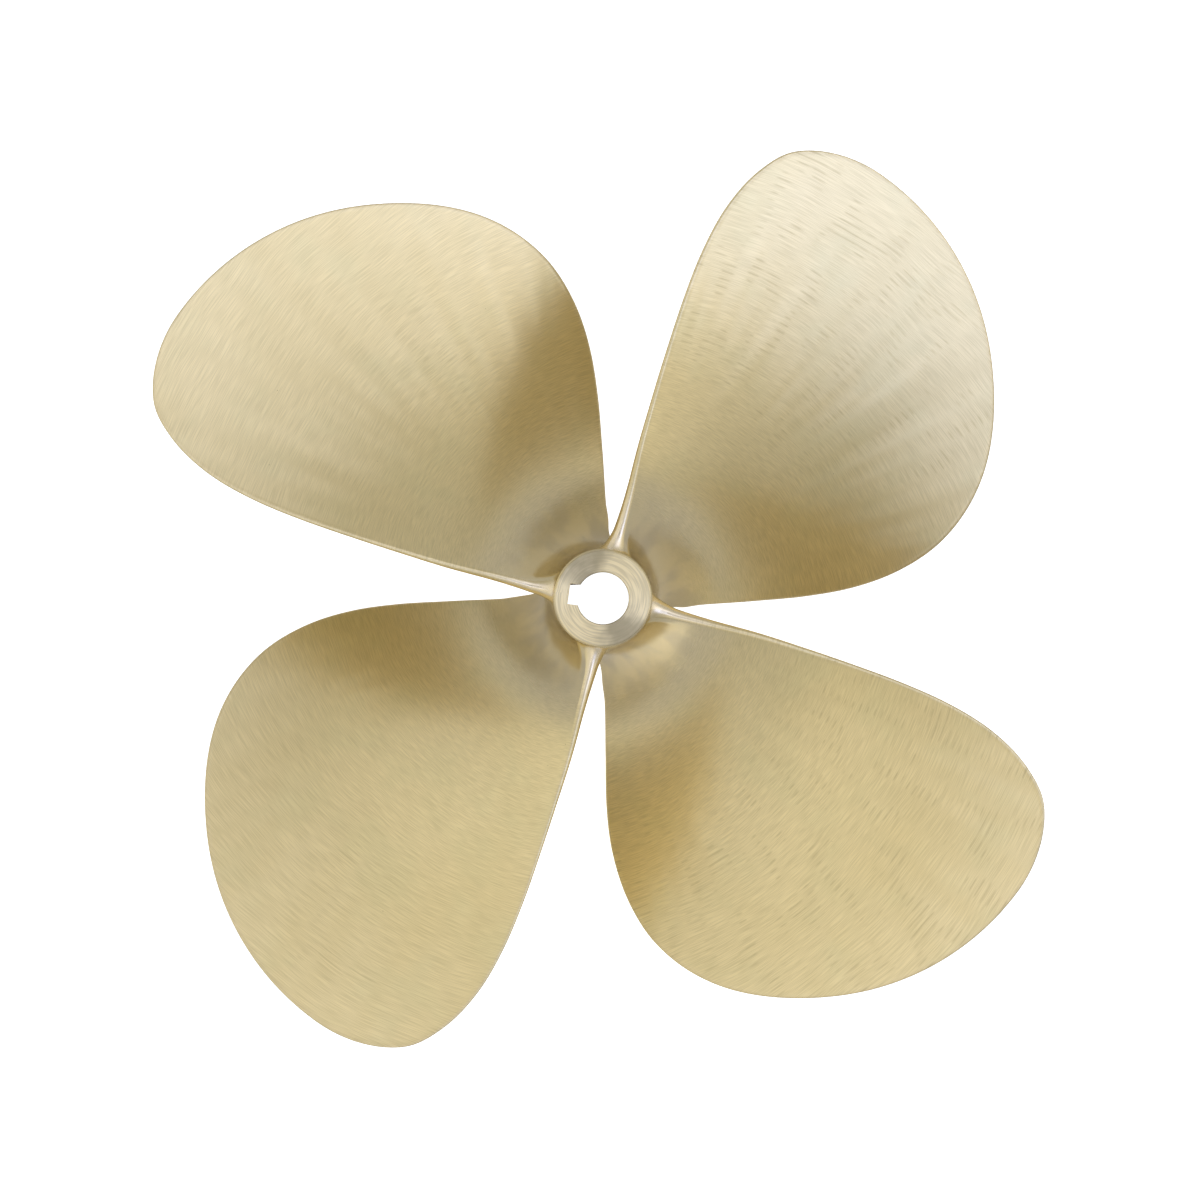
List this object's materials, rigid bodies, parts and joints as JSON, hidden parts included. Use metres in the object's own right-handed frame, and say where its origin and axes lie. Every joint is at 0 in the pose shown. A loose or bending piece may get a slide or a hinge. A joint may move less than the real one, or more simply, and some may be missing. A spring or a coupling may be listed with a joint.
{
  "type": "ship propeller",
  "caption": "Fixed-pitch ship propeller cast in bronze: broad twisted blades around a hub with a tapered, keyed bore for the shaft.",
  "frame": {"origin": "on the shaft's axis at the forward end of the hub, which is the bottom of the bounding box", "axes": "+Z along the shaft's axis from the forward to the after end of the hub, so the pressure faces look up; -X towards the keyway"},
  "size_m": [0.6451, 0.6477, 0.15],
  "materials": {
    "bronze": "ground and brushed satin bronze"
  },
  "bodies": {
    "root": {"propeller": "bronze"}
  },
  "joints": []
}
